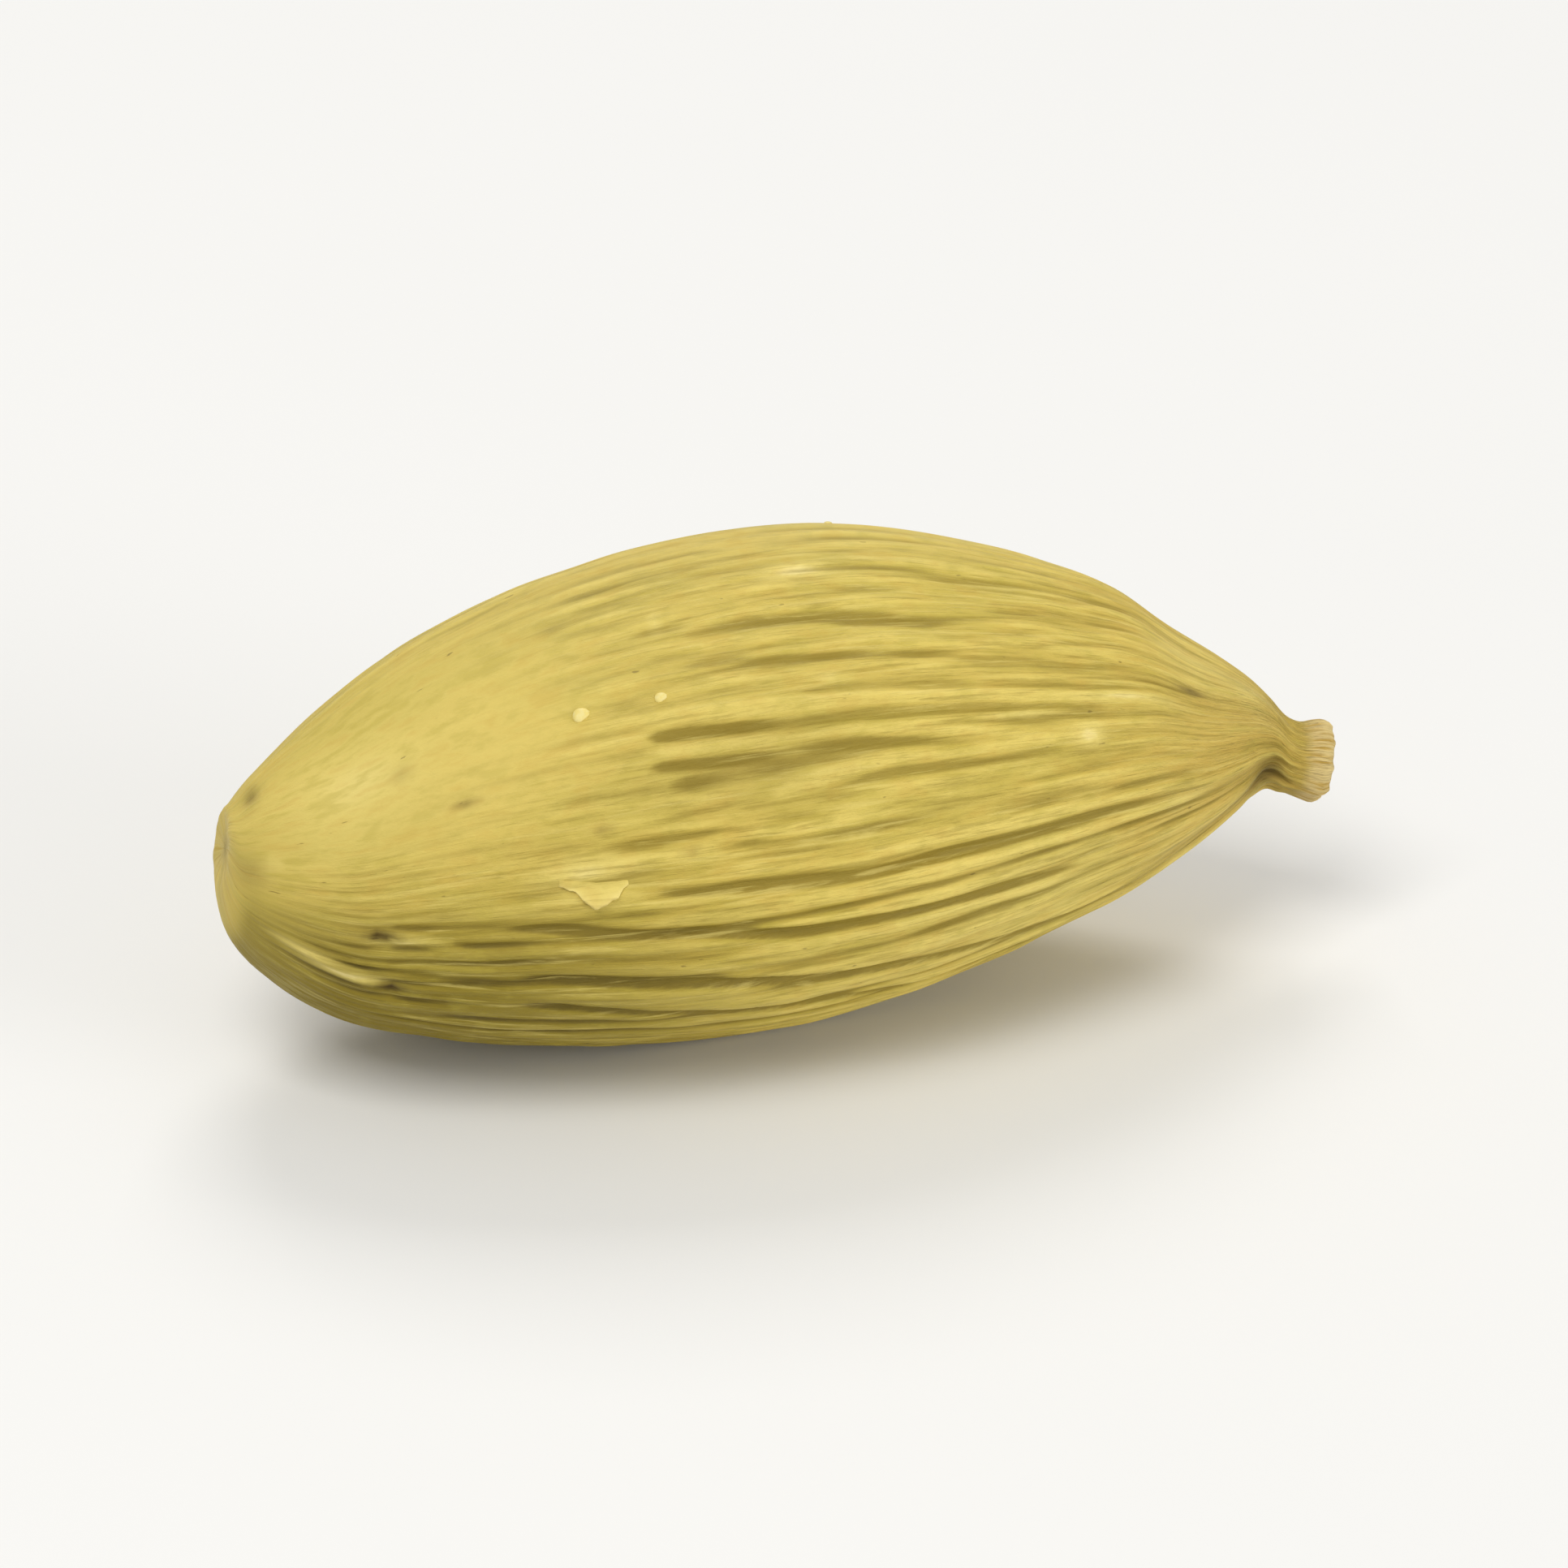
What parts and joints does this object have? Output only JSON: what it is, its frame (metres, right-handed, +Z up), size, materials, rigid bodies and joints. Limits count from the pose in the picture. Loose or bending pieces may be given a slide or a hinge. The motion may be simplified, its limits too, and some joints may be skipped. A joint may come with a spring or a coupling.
{
  "type": "green cardamom pod",
  "caption": "Dried green cardamom pod on its side: a ribbed, softly angled husk with a blunt tip and a short neck that ends in a pale stalk collar.",
  "frame": {"origin": "middle of the pod's box at its base, on the surface that the pod lies on", "axes": "+X along the pod from its blunt tip to its stalk collar, +Z up, -Y the side that faces the viewer"},
  "size_m": [0.02, 0.0084, 0.0082],
  "materials": {
    "husk": "dry, fibrous and dull, pale yellow-green husk with a faint sheen along its ribs"
  },
  "bodies": {
    "root": {"pod": "husk"}
  },
  "joints": []
}
